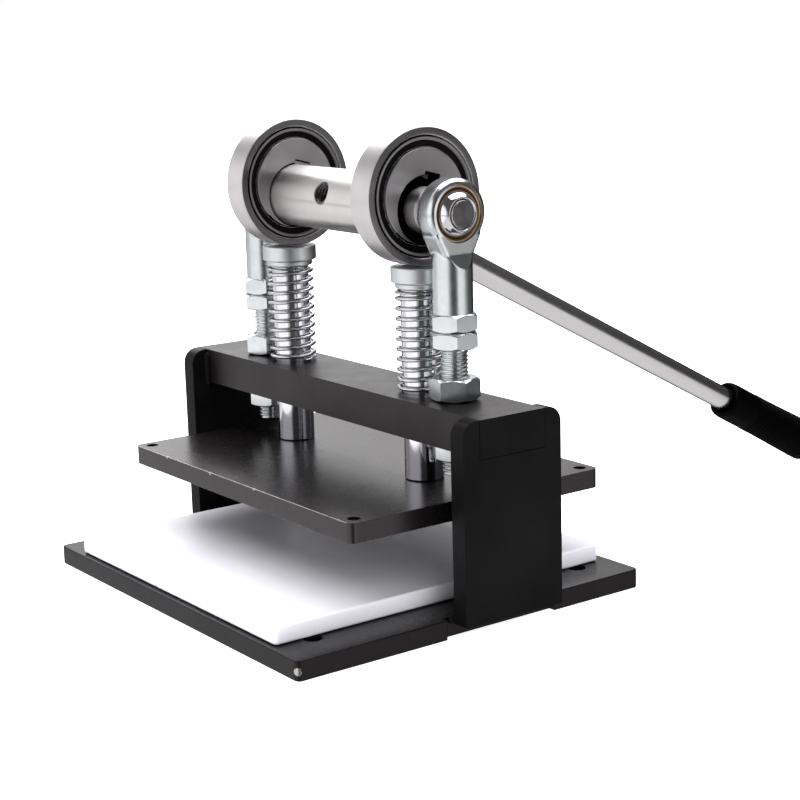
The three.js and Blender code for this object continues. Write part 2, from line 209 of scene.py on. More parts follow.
def slab(name, outline, height, material, plane=None, bevel=PLATE_EDGE, cutters=()):
    """An outline in metres, raised by a height in metres, with holes cut and edges bevelled."""
    shape = bmesh.new()
    face = shape.faces.new([shape.verts.new((x, y, 0)) for x, y in outline])
    raised = bmesh.ops.extrude_face_region(shape, geom=[face])
    top = [v for v in raised["geom"] if isinstance(v, bmesh.types.BMVert)]
    bmesh.ops.translate(shape, verts=top, vec=(0, 0, height))
    shape.transform(plane or Matrix.Identity(4))
    piece = from_bmesh(name, shape, material)
    for cutter in cutters:
        carve(piece, cutter)
    if bevel:
        edges = piece.modifiers.new("edges", "BEVEL")
        edges.width = bevel * MM
        edges.segments = 3
        edges.limit_method = "ANGLE"
        edges.angle_limit = math.radians(40)
    return bake(piece)


def in_metres(outline):
    return [(x * MM, y * MM) for x, y in outline]


def carve(piece, cutter, operation="DIFFERENCE"):
    change = piece.modifiers.new("change", "BOOLEAN")
    change.operation = operation
    change.object = cutter
    change.solver = "EXACT"
    bake(piece)
    bpy.data.objects.remove(cutter)
    return piece


def apply_modifiers(piece):
    bpy.context.view_layer.update()
    graph = bpy.context.evaluated_depsgraph_get()
    mesh = bpy.data.meshes.new_from_object(piece.evaluated_get(graph))
    piece.modifiers.clear()
    piece.data = mesh


def bake(piece, crease=CREASE):
    """Applies the piece's modifiers and smooths its faces up to the crease."""
    apply_modifiers(piece)
    piece.data.shade_smooth()
    piece.data.set_sharp_from_angle(angle=math.radians(crease))
    return piece


def flatten_normals(piece):
    """Keeps flat faces flat in the shading, with only their rounded edges turning."""
    normals = piece.modifiers.new("normals", "WEIGHTED_NORMAL")
    normals.keep_sharp = True
    normals.weight = 80
    apply_modifiers(piece)


def drill(radius, at, length, axis=None, segments=48):
    """A round cutter, centred on a point in metres."""
    profile = [(0, -length / 2), (radius, -length / 2), (radius, length / 2), (0, length / 2)]
    return turned("drill", profile, None, at, axis, rounding=0, segments=segments)


def joined(name, pieces):
    """One object from several."""
    shape = bmesh.new()
    for piece in pieces:
        part = piece.data.copy()
        part.transform(piece.matrix_world)
        shape.from_mesh(part)
    material = pieces[0].data.materials[0]
    for piece in pieces:
        bpy.data.objects.remove(piece)
    mesh = bpy.data.meshes.new(name)
    shape.to_mesh(mesh)
    shape.free()
    return new_object(name, mesh, material)


def stands_for(piece, *nodes):
    """The piece takes the place and body of its CAD nodes, which are hidden."""
    flatten_normals(piece)
    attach(piece, frame["nodes"][nodes[0]]["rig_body"])
    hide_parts(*nodes)
    return piece


def repaint(piece, material, chosen):
    """A second material on the faces that the test picks, by their centre and normal."""
    piece.data.materials.append(material)
    slot = len(piece.data.materials) - 1
    for face in piece.data.polygons:
        if chosen(face.center, face.normal):
            face.material_index = slot


def off_axis(point, axis):
    """Distance from a line along X, in millimetres."""
    return math.hypot(point.y - axis.y, point.z - axis.z) / MM


# Materials


def add_node(tree, kind, values=None, **settings):
    made = tree.nodes.new(kind)
    for key, value in settings.items():
        setattr(made, key, value)
    for key, value in (values or {}).items():
        if isinstance(value, bpy.types.NodeSocket):
            tree.links.new(value, made.inputs[key])
        else:
            made.inputs[key].default_value = value
    return made


def as_color(value):
    return value if isinstance(value, bpy.types.NodeSocket) else (*value, 1)


class Surface:
    """A material whose nodes are added one call at a time."""

    def __init__(self, name, color, metallic, roughness):
        self.material = bpy.data.materials.new(name)
        self.material.use_nodes = True
        self.tree = self.material.node_tree
        self.shader = self.tree.nodes["Principled BSDF"]
        self.set("Base Color", (*color, 1))
        self.set("Metallic", metallic)
        self.set("Roughness", roughness)
        self.place = self.node("ShaderNodeTexCoord").outputs["Object"]

    def set(self, socket, value):
        if isinstance(value, bpy.types.NodeSocket):
            self.tree.links.new(value, self.shader.inputs[socket])
        else:
            self.shader.inputs[socket].default_value = value

    def node(self, kind, values=None, **settings):
        return add_node(self.tree, kind, values, **settings)

    def calc(self, operation, *values):
        made = self.node("ShaderNodeMath", dict(enumerate(values)), operation=operation)
        return made.outputs[0]

    def vector(self, operation, *values):
        """The result of a vector operation, which is a number for lengths and distances."""
        made = self.node("ShaderNodeVectorMath", dict(enumerate(values)), operation=operation)
        return made.outputs["Value" if operation in ("LENGTH", "DISTANCE") else 0]

    def from_x_line(self, point):
        """Distance from the line along X through a point."""
        offset = self.vector("SUBTRACT", self.place, point)
        return self.vector("LENGTH", self.vector("MULTIPLY", offset, (0, 1, 1)))

    def noise(self, scale, detail=3.0, stretch=(1, 1, 1), rough=0.5):
        spot = self.node("ShaderNodeMapping", {"Vector": self.place, "Scale": stretch})
        values = {"Vector": spot.outputs[0], "Scale": scale, "Detail": detail,
                  "Roughness": rough}
        return self.node("ShaderNodeTexNoise", values).outputs["Fac"]

    def rings(self, scale, centre, detail):
        """Marks that run round the X axis through a point, on faces and cylinders alike."""
        along = self.node("ShaderNodeSeparateXYZ", {0: self.place}).outputs["X"]
        both = self.calc("ADD", self.from_x_line(centre), along)
        values = {"W": both, "Scale": scale, "Detail": detail}
        return self.node("ShaderNodeTexNoise", values, noise_dimensions="1D").outputs["Fac"]

    def between(self, value, low_end, high_end, start=0.3, stop=0.7):
        """Maps a value from one range, by default that of noise, to another."""
        values = {"Value": value, "From Min": start, "From Max": stop,
                  "To Min": low_end, "To Max": high_end}
        return self.node("ShaderNodeMapRange", values).outputs["Result"]

    def blend(self, value, color, other):
        """Mixes two colours, each of which may be another node's output."""
        values = {0: value, 6: as_color(color), 7: as_color(other)}
        return self.node("ShaderNodeMix", values, data_type="RGBA").outputs[2]

    def mottle(self, scale, detail, dark, light, rough=0.5):
        """A base colour that drifts between two shades."""
        cloud = self.between(self.noise(scale, detail, rough=rough), 0, 1)
        self.set("Base Color", self.blend(cloud, dark, light))

    def vary_roughness(self, scale, detail, span):
        self.set("Roughness", self.between(self.noise(scale, detail), *span))

    def add_wear_and_highlight(self, wear_and_highlight, ragged, gap, radius, start, stop):
        """Adds to the places of wear and painted highlight those whose gap to a point or line is
        within a radius.

        The noise makes the outline ragged. Start and stop are shares of the radius.
        """
        edge = self.calc("MULTIPLY_ADD", ragged, radius * 1.6, gap)
        spot = self.between(edge, 1, 0, radius * start, radius * stop)
        return self.calc("MAXIMUM", wear_and_highlight, spot) if wear_and_highlight else spot

    def bump(self, height, depth, under=None):
        """Normals for a relief of a depth in metres, on top of another relief's normals."""
        values = {"Height": height, "Strength": 1.0, "Distance": depth}
        if under:
            values["Normal"] = under
        return self.node("ShaderNodeBump", values).outputs["Normal"]


def black_paint(name, gloss, roughness=(0.3, 0.42), peel=0.04, tint=(1, 1, 1), chips=(),
                edge=None):
    """Satin powder coat with a fine peel, bared to steel by wear at chips, and along an edge by
    wear and a painted highlight.
    """
    look = Surface(name, (0.004, 0.0036, 0.004), 0.0, roughness[0])
    cloud = look.between(look.noise(18, 4), 0, 1)
    color = look.blend(cloud, (0.003, 0.0026, 0.003), (0.0058, 0.0052, 0.0056))
    under = look.bump(look.noise(900, 2), peel * MM)
    look.set("Normal", look.bump(look.noise(4500, 2), 0.3 * peel * MM, under))
    look.set("Specular IOR Level", gloss)
    look.set("Specular Tint", (*tint, 1))
    ragged = look.noise(700, 4)
    wear_and_highlight = None
    for point, radius in chips:
        gap = look.vector("DISTANCE", look.place, point)
        wear_and_highlight = look.add_wear_and_highlight(wear_and_highlight, ragged, gap, radius, 1.65, 1.85)
    # Along the edge the bared steel line is partly wear and partly a painted highlight of the
    # edge
    if edge is not None:
        ragged = look.noise(150, 6, rough=0.7)
        wear_and_highlight = look.add_wear_and_highlight(wear_and_highlight, ragged, look.from_x_line(edge), 0.4 * MM, 1.2, 1.4)
    if wear_and_highlight:
        color = look.blend(wear_and_highlight, color, (0.5, 0.48, 0.46))
        look.set("Metallic", wear_and_highlight)
    look.set("Base Color", color)
    look.vary_roughness(60, 5, roughness)
    return look.material


def zinc_plate(name, roughness):
    look = Surface(name, (0.7, 0.73, 0.75), 1.0, roughness[0])
    look.mottle(110, 6, (0.66, 0.685, 0.705), (0.77, 0.79, 0.8), rough=0.65)
    look.vary_roughness(200, 4, roughness)
    look.set("Normal", look.bump(look.noise(500, 4), 0.005 * MM))
    return look.material


def chrome(name, color, roughness=(0.05, 0.13)):
    """Plated steel with faint marks along its length."""
    look = Surface(name, color, 1.0, roughness[0])
    look.vary_roughness(90, 5, roughness)
    look.set("Normal", look.bump(look.noise(2600, 2, stretch=(1, 1, 0.08)), 0.004 * MM))
    return look.material


def spring_wire():
    look = Surface("spring_steel", (0.66, 0.66, 0.67), 1.0, 0.2)
    look.mottle(240, 4, (0.58, 0.58, 0.59), (0.78, 0.78, 0.8))
    look.vary_roughness(800, 3, (0.14, 0.28))
    return look.material


def turned_steel(name, centre, dark, light, roughness):
    """Steel with fine tool marks round an axis, which stretch its highlights along the axis."""
    look = Surface(name, dark, 1.0, roughness[0])
    marks = look.rings(2600, centre, 4)
    look.mottle(50, 5, dark, light)
    look.set("Roughness", look.between(marks, *roughness))
    look.set("Normal", look.bump(marks, 0.003 * MM))
    tangent = look.node("ShaderNodeTangent", direction_type="RADIAL", axis="X")
    look.set("Tangent", tangent.outputs[0])
    look.set("Anisotropic", 0.9)
    look.set("Anisotropic Rotation", 0.25)
    return look.material


def brass():
    look = Surface("brass_race", (0.6, 0.47, 0.3), 1.0, 0.32)
    look.mottle(300, 5, (0.5, 0.37, 0.22), (0.72, 0.6, 0.42))
    look.vary_roughness(700, 4, (0.26, 0.44))
    return look.material


def rubber(name, dark, light, roughness, gloss=0.05):
    look = Surface(name, dark, 0.0, roughness[0])
    look.mottle(70, 4, dark, light)
    look.vary_roughness(260, 4, roughness)
    look.set("Normal", look.bump(look.noise(1800, 3), 0.03 * MM))
    look.set("Specular IOR Level", gloss)
    return look.material


def white_board():
    """Milky polyethylene with faint knife scratches."""
    look = Surface("white_board", (0.84, 0.85, 0.88), 0.0, 0.42)
    look.mottle(14, 4, (0.8, 0.785, 0.86), (0.86, 0.85, 0.91))
    look.vary_roughness(120, 5, (0.36, 0.5))
    lengthwise = look.noise(40, 6, stretch=(1, 28, 1), rough=0.8)
    crosswise = look.noise(34, 6, stretch=(30, 1.4, 1), rough=0.8)
    cuts = look.bump(look.between(lengthwise, 0, 1, 0.62, 0.66), 0.03 * MM)
    cuts = look.bump(look.between(crosswise, 0, 1, 0.63, 0.66), 0.02 * MM, cuts)
    look.set("Normal", look.bump(look.noise(1500, 2), 0.01 * MM, cuts))
    look.set("Subsurface Weight", 0.12)
    look.set("Subsurface Radius", (0.006, 0.006, 0.007))
    look.set("Subsurface Scale", 0.5)
    return look.material


SHAFT_AXIS = middle("eccentric_shaft")
HUB_AXIS = middle("bearing_outer_ring_right")

# Places where the paint wears through, and how far; along the press plate's front top edge this
# is partly a painted highlight
BASE_CORNER = Vector((high("base_plate").x, low("base_plate").y, high("base_plate").z))
BASE_CHIPS = [(BASE_CORNER + Vector((-1, 0.5, -5.2)) * MM, 1.9 * MM)]
PRESS_EDGE = Vector((0, low("press_plate").y, high("press_plate").z))
PRESS_CHIPS = [(PRESS_EDGE + Vector((x * MM, 0, 0)), 1.1 * MM) for x in (-69, -23, 20)]
WARM = (1, 0.88, 0.93)      # tint of the paint's sheen

PAINT = black_paint("black_paint", gloss=0.07)
BEAM_PAINT = black_paint("black_paint_beam", gloss=0.42, tint=WARM)
BASE_PAINT = black_paint("black_paint_base", gloss=0.21, roughness=(0.22, 0.3), tint=WARM,
                         chips=BASE_CHIPS)
PLATE_PAINT = black_paint("black_paint_plate", gloss=0.66, roughness=(0.25, 0.285), peel=0.012,
                          tint=WARM, chips=PRESS_CHIPS, edge=PRESS_EDGE)
ZINC = zinc_plate("zinc_plate", (0.2, 0.27))
CAP_ZINC = zinc_plate("zinc_plate_cap", (0.36, 0.46))
CHROME = chrome("polished_chrome", (0.8, 0.79, 0.82))
LEVER_CHROME = chrome("lever_chrome", (0.77, 0.75, 0.76), (0.15, 0.24))
ROD_CHROME = chrome("rod_chrome", (0.79, 0.78, 0.85))
WIRE = spring_wire()
SHAFT_STEEL = turned_steel("ground_shaft", SHAFT_AXIS,
                           (0.8, 0.77, 0.77), (0.88, 0.85, 0.85), (0.3, 0.4))
HUB_STEEL = turned_steel("turned_hub", HUB_AXIS,
                         (0.36, 0.35, 0.36), (0.45, 0.43, 0.44), (0.32, 0.42))
# Near-black steel: painted shade in the hubs' bores and keyways, and on the shaft's relief inside
# the hubs
BORE_SHADE = turned_steel("bore_painted_shade", SHAFT_AXIS,
                          (0.004, 0.004, 0.004), (0.008, 0.008, 0.008), (0.45, 0.6))
RING_STEEL = turned_steel("bearing_ring", HUB_AXIS,
                          (0.85, 0.82, 0.83), (0.93, 0.9, 0.91), (0.5, 0.6))
# A darker copy of the bearing ring's steel: painted shade on the rings' faces, the shaft's end
# faces and the tapped hole
SHADED_STEEL = turned_steel("steel_painted_shade", HUB_AXIS,
                          (0.15, 0.145, 0.15), (0.21, 0.2, 0.205), (0.3, 0.4))
BRASS = brass()
SEAT_SHADE = rubber("race_seat_painted_shade", (0.05, 0.028, 0.014), (0.09, 0.055, 0.03), (0.3, 0.45))
SEAL = rubber("seal_rubber", (0.0015, 0.0015, 0.0015), (0.003, 0.0028, 0.003), (0.34, 0.5))
# A lighter copy of the seal rubber, painted highlight on the seals' raised lips
SEAL_LIP_HIGHLIGHT = rubber("seal_lip_painted_highlight", (0.09, 0.085, 0.09), (0.13, 0.12, 0.125), (0.4, 0.55))
GRIP = rubber("grip_rubber", (0.0002, 0.0002, 0.0002), (0.0005, 0.0005, 0.0005), (0.4, 0.55),
              gloss=0.03)
BOARD = white_board()


# Frame


def base_plate():
    """A plate with a notch in each side, where the uprights stand, and four bench holes."""
    lo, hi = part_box("base_plate")
    corner, notch, spare = 3 * MM, 4 * MM, 3.5 * MM
    hole_radius, hole_x, hole_y = 4.5, 98 * MM, 82 * MM
    near, far = low("upright_right").y - spare, high("upright_right").y + spare
    right = [(hi.x, near), (hi.x - notch, near), (hi.x - notch, far), (hi.x, far)]
    left = [(-x, y) for x, y in reversed(right)]
    outline = (arc((hi.x - corner, lo.y + corner), corner, -90, 0, 6) + right
               + arc((hi.x - corner, hi.y - corner), corner, 0, 90, 6)
               + arc((lo.x + corner, hi.y - corner), corner, 90, 180, 6) + left
               + arc((lo.x + corner, lo.y + corner), corner, 180, 270, 6))
    holes = [drill(hole_radius, (sx * hole_x, sy * hole_y, hi.z), length=60)
             for sx in (-1, 1) for sy in (-1, 1)]
    piece = slab("base_plate_body", outline, hi.z - lo.z, BASE_PAINT, cutters=holes)
    stands_for(piece, "base_plate")


def upright(side):
    """A bar with a slot at its top, just wider than the beam's tenon."""
    lo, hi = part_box(f"upright_{side}")
    corner, clearance = 8 * MM, 0.14 * MM
    beam_lo, beam_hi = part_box("crossbeam")
    slot_near, slot_far = beam_lo.y - clearance, beam_hi.y + clearance
    slot_floor = beam_lo.z - clearance
    outline = ([(lo.y, lo.z), (hi.y, lo.z)]
               + arc((hi.y - corner, hi.z - corner), corner, 0, 90)
               + [(slot_far, hi.z), (slot_far, slot_floor),
                  (slot_near, slot_floor), (slot_near, hi.z)]
               + arc((lo.y + corner, hi.z - corner), corner, 90, 180))
    piece = slab(f"upright_{side}_bar", outline, hi.x - lo.x, PAINT, yz_plane(lo.x),
                 bevel=BAR_EDGE)
    stands_for(piece, f"upright_{side}")


def crossbeam():
    lo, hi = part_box("crossbeam")
    clearance = 0.4
    outline = [(lo.x, lo.y), (hi.x, lo.y), (hi.x, hi.y), (lo.x, hi.y)]
    holes = [drill(size(f"{node}_{side}").x / 2 / MM + clearance, middle(f"{node}_{side}"),
                   length=300)
             for node in ("guide_rod", "stud") for side, _ in SIDES]
    place = Matrix.Translation((0, 0, lo.z))
    bar = slab("crossbeam_bar", outline, hi.z - lo.z, BEAM_PAINT, place, bevel=BAR_EDGE,
               cutters=holes)
    repaint(bar, PAINT, lambda centre, normal: abs(normal.x) > 0.9)
    stands_for(bar, "crossbeam")


def weld(name, path, radius):
    """A rippled bead along straight stretches of a path in metres."""
    step, sides, taper_rings = 0.35 * MM, 16, 6
    fine_wave, fine_height = 0.75 * MM, 0.07
    coarse_wave, coarse_height = 2.3 * MM, 0.05
    points = []
    for start, end in zip(path, path[1:]):
        span = Vector(end) - Vector(start)
        steps = max(2, int(span.length / step))
        points += [Vector(start) + span * i / steps for i in range(steps)]
    points.append(Vector(path[-1]))
    last = len(points) - 1
    travelled = 0.0
    rings = []
    for i, point in enumerate(points):
        before, after = points[max(i - 1, 0)], points[min(i + 1, last)]
        ahead = (after - before).normalized()
        travelled += (point - before).length
        side = ahead.orthogonal().normalized()
        other = ahead.cross(side)
        taper = min(1, math.sqrt(max(min(i, last - i), 0.3) / taper_rings))
        ripple = (1 + fine_height * abs(math.sin(travelled / fine_wave))
                  + coarse_height * math.sin(travelled / coarse_wave))
        reach = radius * taper * ripple
        rings.append([point + reach * (side * math.cos(a) + other * math.sin(a))
                      for a in (2 * math.pi * k / sides for k in range(sides))])
    return skin(name, rings, PAINT, cap=True, crease=SOFT_CREASE)


def welds(side, sign):
    """Beads round three sides of the beam's tenon and along the upright's foot."""
    beam_bead, base_bead = 2.6 * MM, 2.2 * MM
    lo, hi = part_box(f"beam_weld_{side}")
    beam_lo, beam_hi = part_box("crossbeam")
    x = lo.x if sign < 0 else hi.x
    near, far, floor, top = beam_lo.y, beam_hi.y, beam_lo.z, beam_hi.z - 1.6 * MM
    path = [(x, near, top), (x, near, floor), (x, far, floor), (x, far, top)]
    stands_for(weld(f"beam_weld_{side}_bead", path, beam_bead), f"beam_weld_{side}")
    lo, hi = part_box(f"base_weld_{side}")
    x, z, inset = sign * 118 * MM, high("base_plate").z - 1.2 * MM, 2 * MM
    path = [(x, lo.y + inset, z), (x, hi.y - inset, z)]
    stands_for(weld(f"base_weld_{side}_bead", path, base_bead), f"base_weld_{side}")


def cutting_board():
    lo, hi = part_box("cutting_board")
    corner, soft_edge = 2.5 * MM, 1.3
    outline = rounded_rectangle(lo, hi, corner)
    place = Matrix.Translation((0, 0, lo.z))
    piece = slab("cutting_board_sheet", outline, hi.z - lo.z, BOARD, place, bevel=soft_edge)
    stands_for(piece, "cutting_board")


# Fasteners and rod ends


def tooth(height, turn, pitch, crest, slope):
    """How far a thread's tooth stands out, 0 to 1, at a height and a part of a turn."""
    phase = (height / pitch - turn) % 1
    return min(1, max(0, crest - slope * abs(phase - 0.5)))


def stud(side):
    """A threaded rod, whose thread runs out at both ends."""
    node = f"stud_{side}"
    at = column_foot(node)
    start, end, radius = low(node).z / MM, high(node).z / MM, size(node).x / 2 / MM
    pitch, depth, around, rows_per_turn = 2.0, 1.1, 48, 12
    rows = int((end - start) / pitch * rows_per_turn)
    rings = []
    for row in range(rows + 1):
        height = start + (end - start) * row / rows
        taper = min(1, 0.25 + min(height - start, end - height) / pitch)
        ring = []
        for i in range(around):
            angle = 2 * math.pi * i / around
            reach = radius - depth * (1 - tooth(height, i / around, pitch, 1.35, 3.1) * taper)
            ring.append(Vector((reach * math.cos(angle), reach * math.sin(angle), height)) * MM
                        + at)
        rings.append(ring)
    thread = skin(f"{node}_thread", rings, ZINC, cap=True, crease=SOFT_CREASE)
    stands_for(thread, node)


def hexagon_reach(flats, angle):
    """Distance from a hexagon's centre to its side, with flats that face along X."""
    return flats / 2 / math.cos((angle + math.pi / 6) % (math.pi / 3) - math.pi / 6)


def hexagon(name, flats, bottom, top, bore, material, at, turn=0):
    """A hexagon with its corners cut back by cones, as on a nut."""
    slope, washer_face = math.tan(math.radians(30)), flats / 2 * 0.965
    chamfer, soft_in, soft_up = 0.7, 0.12, 0.1
    inner, around = bore + chamfer, 120
    columns = []
    for i in range(around):
        angle = 2 * math.pi * i / around
        reach = hexagon_reach(flats, angle)
        back = reach - soft_in
        drop = (reach - washer_face) * slope + 0.15
        path = [(bore, bottom + chamfer), (inner, bottom), (washer_face, bottom),
                (back, bottom + drop - soft_up), (reach, bottom + drop + soft_up),
                (reach, top - drop - soft_up), (back, top - drop + soft_up),
                (washer_face, top), (inner, top), (bore, top - chamfer)]
        columns.append((angle + math.radians(turn), path))
    rings = [[MM * Vector((path[k][0] * math.cos(a), path[k][0] * math.sin(a), path[k][1])) + at
              for a, path in columns] for k in range(len(columns[0][1]))]
    return skin(name, rings, material, join_ends=True, crease=24)


def nuts(side):
    for kind in ("beam_nut", "under_nut", "lock_nut"):
        node = f"{kind}_{side}"
        piece = hexagon(f"{node}_hex", NUT_FLATS, low(node).z / MM, high(node).z / MM,
                        STUD_BORE, ZINC, column_foot(node), NUT_TURN.get(node, 0))
        stands_for(piece, node)


def rod_end(side):
    """A forged eye whose flats run out into the round shank, with a hexagon at its foot."""
    node = f"rod_end_{side}"
    at = column_foot(node)
    eye = at + Vector((0, 0, middle(f"race_{side}").z))
    foot, height = low(node).z / MM, eye.z / MM
    half, ring, shank, bore = 6.75, 17.0, 10.0, 14.0
    shoulder = height - 17.5
    body = turned(f"{node}_body", [(0, -half), (ring - 2, -half), (ring, -half + 2),
                                   (ring, half - 2), (ring - 2, half), (0, half)],
                  ZINC, eye, TO_X, rounding=1.5)
    # The flat neck between the eye and the shank
    right = [(7.2, shoulder - 6), (14.5, height - 8.8)]
    outline = in_metres(right + [(-y, z) for y, z in reversed(right)])
    thick = (2 * half - 0.05) * MM
    neck = slab("neck", outline, thick, ZINC, yz_plane(at.x - thick / 2, at.y), bevel=1.8)
    carve(body, neck, "UNION")
    # The round shank, milled away on both sides up to the flats
    column = turned("column", [(0, foot + 1), (shank, foot + 1), (shank, height - 11),
                               (0, height - 11)], ZINC, at)
    across = Matrix(((1, 0, 0, at.x), (0, 0, 1, at.y - 30 * MM), (0, 1, 0, 0), (0, 0, 0, 1)))
    for way in (-1, 1):
        wedge = [(half, shoulder - 2), (shank + 0.5, shoulder - 9.6), (20, shoulder - 9.6),
                 (20, height), (half, height)]
        outline = in_metres([(way * x, z) for x, z in wedge])
        carve(column, slab("wedge", outline, 60 * MM, None, across, bevel=0))
    carve(body, column, "UNION")
    soften = body.modifiers.new("soften", "REMESH")
    soften.mode = "VOXEL"
    soften.voxel_size = 0.4 * MM
    smooth = body.modifiers.new("smooth", "SMOOTH")
    smooth.factor = 0.5
    smooth.iterations = 9
    bake(body, SOFT_CREASE)
    carve(body, drill(bore, eye, 40, TO_X, segments=96))
    collar = hexagon("collar", NUT_FLATS, foot, foot + 8.7, STUD_BORE, ZINC, at)
    stands_for(joined(f"{node}_housing", [body, collar]), node)


def race_and_ball(side):
    eye = middle(f"race_{side}")
    # The race, hollowed to a ball's seat, whose faces inside the rim are painted dark brown as
    # shade in the gap round the ball
    seat, seat_half, seat_steps = 12.85, 4.4, 12
    heights = [seat_half * (1 - 2 * i / seat_steps) for i in range(seat_steps + 1)]
    profile = ([(math.sqrt(seat ** 2 - h ** 2), h) for h in heights]
               + [(12.9, -5.5), (13.6, -5.5), (13.95, -5.1),
                  (13.95, 5.1), (13.6, 5.5), (12.9, 5.5)])
    race = turned(f"race_{side}_shaded_seat", profile, BRASS, eye, TO_X, closed=True, rounding=0.15)
    # The seat faces take the dark brown, painted shade between race and ball
    repaint(race, SEAT_SHADE, lambda centre, normal: off_axis(centre, eye) < seat - 0.05)
    stands_for(race, f"race_{side}")
    # The ball, cut flat on both sides and bored for the shaft
    ball, half, bore, chamfer, steps = 12.7, 9.5, 7.2, 0.7, 24
    heights = [half * (2 * i / steps - 1) for i in range(steps + 1)]
    profile = ([(bore, -half + chamfer), (bore + chamfer, -half)]
               + [(math.sqrt(ball ** 2 - h ** 2), h) for h in heights]
               + [(bore + chamfer, half), (bore, half - chamfer)])
    piece = turned(f"rod_end_ball_{side}_polished", profile, CHROME, eye, TO_X, closed=True,
                   rounding=0.2)
    stands_for(piece, f"rod_end_ball_{side}")


# Shaft, hubs and lever


def key_block(x, inner, outer, length, grow=0.0):
    """A block over the shaft's axis, from one height above it to another, leaning back."""
    across, along = KEY_WIDTH / 2 + grow, length / 2 + grow
    outline = [(-along, -across), (along, -across), (along, across), (-along, across)]
    lean = Matrix.Rotation(math.radians(-15), 4, "X")
    place = (Matrix.Translation((x, SHAFT_AXIS.y, SHAFT_AXIS.z)) @ lean
             @ Matrix.Translation((0, 0, inner * MM)))
    return slab("key", in_metres(outline), (outer - inner) * MM, HUB_STEEL, place, bevel=0.2)


def shaft():
    """A stepped shaft with a relief beside each collar and a tapped hole in its front. The
    relief, the end faces and the hole are painted darker as shade.
    """
    end = size("eccentric_shaft").x / 2 / MM
    neck, collar, tip = 8.5, 11.4, 6.8
    relief = (56.9, 62.3)
    half = [(SHAFT_RADIUS, 57), (neck, 57.2), (neck, 62.4), (collar, 62.5), (collar, 72),
            (neck, 72.2), (neck, 76.2), (tip, 76.4), (tip, end - 0.5), (tip - 0.5, end), (0, end)]
    profile = [(r, -h) for r, h in reversed(half)] + half
    body = turned("eccentric_shaft_turned", profile, SHAFT_STEEL, SHAFT_AXIS, TO_X,
                  rounding=0.5, segments=128)
    tilt = Matrix.Rotation(math.radians(90 - 19), 4, "X")
    hole = SHAFT_AXIS + Vector((-3 * MM, 0, 0))
    mouth = hole + tilt @ Vector((0, 0, SHAFT_RADIUS * MM))
    carve(body, drill(6.0, mouth, 30, tilt, segments=64))
    # The relief beside each collar takes the near-black steel, painted shade inside the hub
    repaint(body, BORE_SHADE,
            lambda centre, normal: relief[0] < abs(centre.x) / MM < relief[1])
    # The end faces take the darker steel, painted shade on the shaft's ends
    repaint(body, SHADED_STEEL, lambda centre, normal: abs(centre.x) / MM > end - 0.3)
    thread = tapped_thread(hole, tilt)
    stands_for(body, "eccentric_shaft")
    stands_for(thread, "eccentric_shaft")
    for side, _ in SIDES:
        key = key_block(middle(f"shaft_key_{side}").x, inner=12.6, outer=17.8, length=6.6)
        key.name = f"shaft_key_{side}_block"
        stands_for(key, f"shaft_key_{side}")


def tapped_thread(hole, tilt):
    """The wall of the tapped hole, a tube with a thread inside."""
    start, end, radius, pitch, depth = 2.0, 16.0, 6.1, 1.75, 1.0
    rows, around = 96, 48
    rings = []
    for row in range(rows + 1):
        height = start + (end - start) * row / rows
        ring = []
        for i in range(around):
            angle = 2 * math.pi * i / around
            reach = radius - depth * tooth(height, i / around, pitch, 1.4, 3.2)
            spot = Vector((reach * math.cos(angle), reach * math.sin(angle), height))
            ring.append(hole + tilt @ (MM * spot))
        rings.append(ring)
    # The thread takes the darker steel, painted shade inside the hole
    return skin("tapped_hole_thread", rings, SHADED_STEEL, crease=SOFT_CREASE)


def hub(side):
    """A disc with the shaft's bore off its centre and a keyway in the bore."""
    node = f"eccentric_hub_{side}"
    half, radius = size(node).x / 2 / MM, size(node).y / 2 / MM
    bore, chamfer = 16.5, 0.8
    mouth = bore + chamfer
    disc = turned(f"{node}_turned", [(0, -half), (radius, -half), (radius, half), (0, half)],
                  HUB_STEEL, Vector((middle(node).x, HUB_AXIS.y, HUB_AXIS.z)), TO_X,
                  rounding=0.5, segments=128)
    at = Vector((middle(node).x, SHAFT_AXIS.y, SHAFT_AXIS.z))
    cutter = [(0, -half - 1), (mouth, -half - 1), (mouth, -half), (bore, -half + chamfer),
              (bore, half - chamfer), (mouth, half), (mouth, half + 1), (0, half + 1)]
    carve(disc, turned("bore", cutter, None, at, TO_X, rounding=0, segments=128))
    carve(disc, key_block(at.x, inner=12, outer=18.6, length=18, grow=0.2))
    # The bore's wall and keyway take the near-black steel, painted shade inside the bore
    repaint(disc, BORE_SHADE,
            lambda centre, normal: abs(normal.x) < 0.9 and off_axis(centre, SHAFT_AXIS) < 20)
    stands_for(disc, node)


